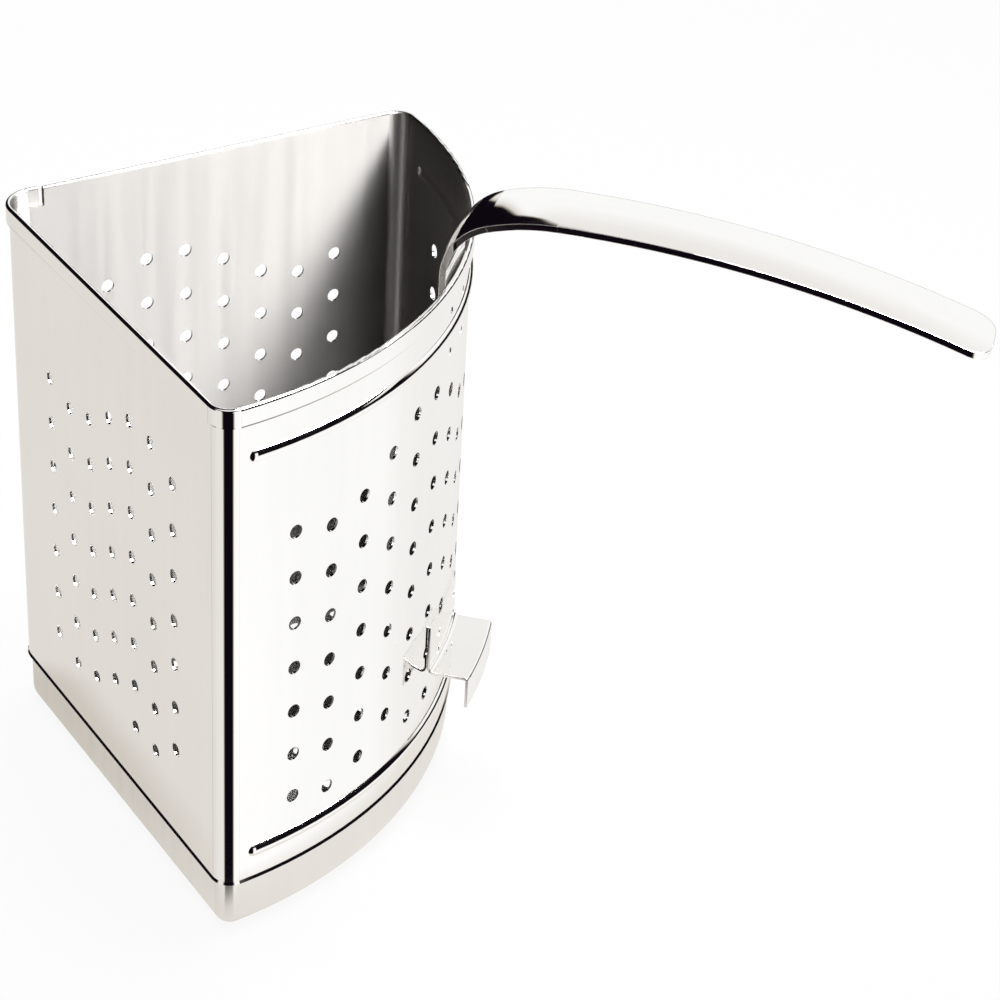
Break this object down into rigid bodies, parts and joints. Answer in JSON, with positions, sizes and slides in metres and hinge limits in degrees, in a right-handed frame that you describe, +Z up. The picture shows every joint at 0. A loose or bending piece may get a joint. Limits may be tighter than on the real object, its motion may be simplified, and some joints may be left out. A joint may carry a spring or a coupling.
{
  "type": "sector basket strainer",
  "caption": "Wedge-shaped perforated steel basket with a long arched handle and a rim hook, a cooking insert that lifts food out of a pot and hangs to drain.",
  "frame": {"origin": "on the flat underside of the base pan, under the centroid of the sector", "axes": "+X along the sector's bisector from the apex towards the handle, +Z up, the back wall on the +Y side"},
  "size_m": [0.3352, 0.2246, 0.2342],
  "materials": {
    "wall_steel": "polished stainless sheet, almost a mirror",
    "pan_steel": "polished stainless sheet",
    "handle_steel": "polished stainless strip",
    "hook_steel": "polished stainless strip",
    "weld_steel": "dull weld dimples"
  },
  "bodies": {
    "root": {"wall_sheet": "wall_steel", "base_pan": "pan_steel", "handle": "handle_steel", "draining_hook": "hook_steel", "handle_welds": "weld_steel", "hook_welds": "weld_steel", "seam_welds": "weld_steel"}
  },
  "joints": []
}
